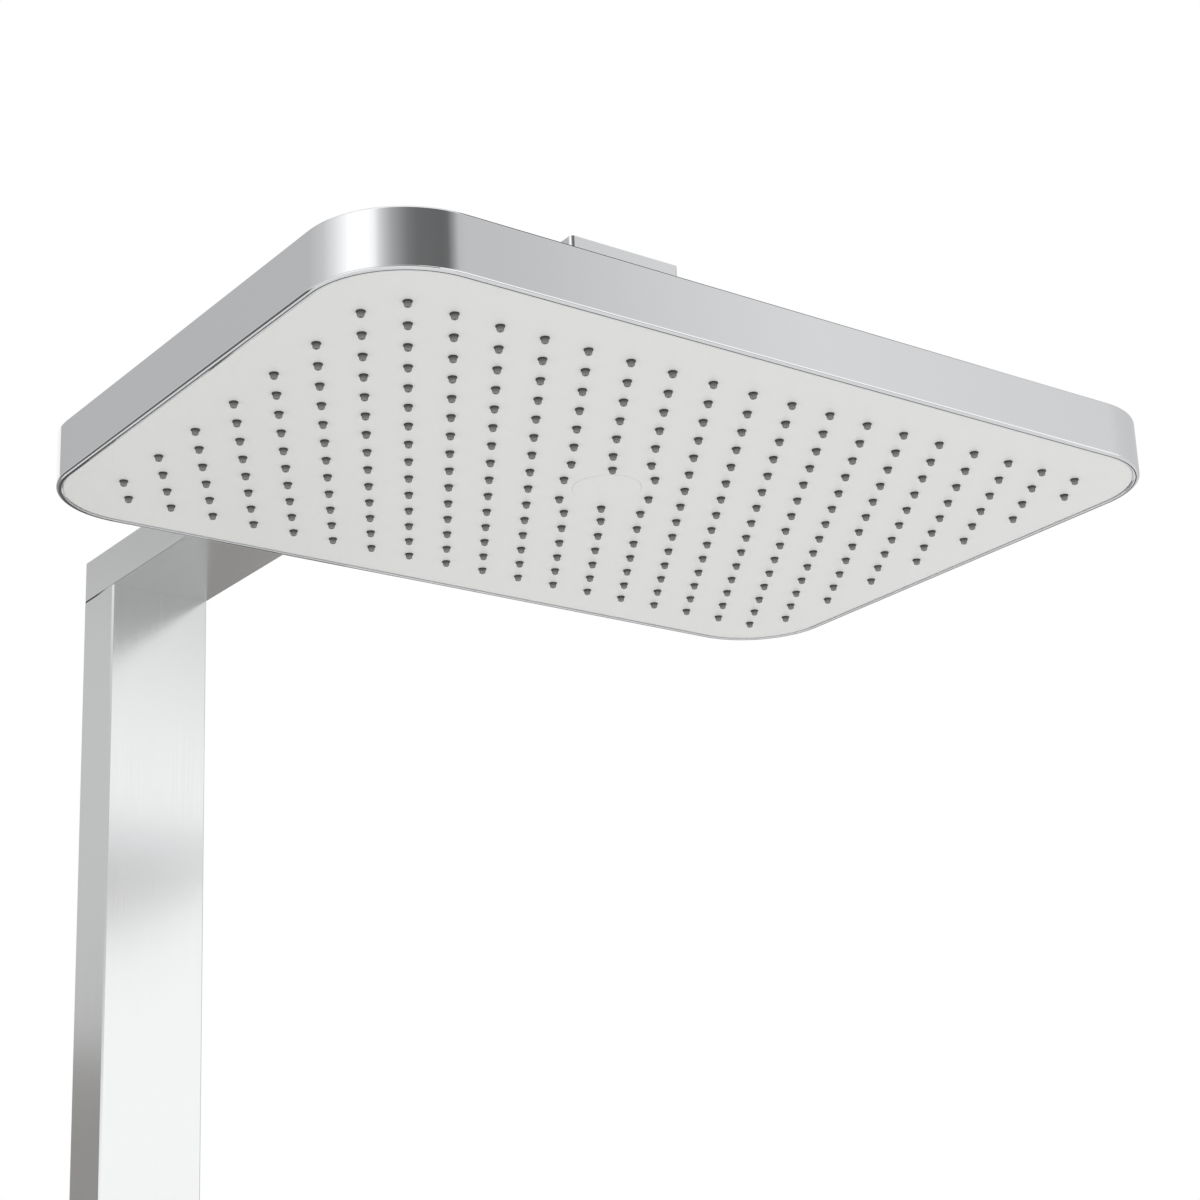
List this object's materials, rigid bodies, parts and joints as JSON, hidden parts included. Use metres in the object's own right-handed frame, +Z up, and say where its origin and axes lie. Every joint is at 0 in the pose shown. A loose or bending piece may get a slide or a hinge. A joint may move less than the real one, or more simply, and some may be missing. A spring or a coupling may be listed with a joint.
{
  "type": "shower column",
  "caption": "Wall-mounted shower column: a slim upright channel carries a flat arm, and a wide rain head with rounded corners hangs under the arm on a ball joint.",
  "frame": {"origin": "middle of the upper wall bracket's back face, on the wall", "axes": "+Z up along the column, +Y into the wall, -Y out into the room along the arm, +X to the right for someone facing the wall"},
  "size_m": [0.35, 0.51, 0.9976],
  "materials": {
    "polished_profile": "polished bright metal",
    "chrome_head": "polished chrome plate",
    "white_face": "white satin plastic with soft grey nozzles",
    "chamber_plastic": "moulded plastic",
    "brass_fitting": "turned brass",
    "black_rubber": "soft black rubber",
    "screw_steel": "bright stainless steel",
    "bracket_steel": "plain stainless steel"
  },
  "bodies": {
    "column": {"column_profile": "polished_profile", "arm_profile": "polished_profile", "arm_front_cap": "polished_profile", "arm_rear_cap": "polished_profile", "foot_cap": "polished_profile", "arm_pipe": "chrome_head", "lock_nuts": "chrome_head", "corner_elbow": "brass_fitting", "riser_pipe": "brass_fitting", "seam_gasket": "black_rubber", "lock_screws": "screw_steel", "corner_grub_screws": "screw_steel", "arm_screws": "screw_steel", "foot_screws": "screw_steel", "upper_wall_bracket": "bracket_steel", "lower_wall_bracket": "bracket_steel"},
    "slip": {"slip_ring": "chamber_plastic"},
    "seal": {"ball_seal": "black_rubber"},
    "head": {"collar_nut": "chrome_head", "inlet_boss": "brass_fitting", "head_shell": "chrome_head", "chamber_plate": "chamber_plastic", "spray_face": "white_face", "centre_screw": "screw_steel", "centre_cap": "white_face"}
  },
  "joints": [
    {"name": "head_tilt", "type": "hinge", "parent": "column", "child": "slip", "pos_m": [0, -0.39, 0.042], "axis": [1, 0, 0], "range_deg": [-10, 10]},
    {"name": "head_roll", "type": "hinge", "parent": "slip", "child": "seal", "pos_m": [0, -0.39, 0.042], "axis": [0, 1, 0], "range_deg": [-10, 10]},
    {"name": "head_swivel", "type": "hinge", "parent": "seal", "child": "head", "pos_m": [0, -0.39, 0.042], "axis": [0, 0, 1], "continuous": true}
  ]
}
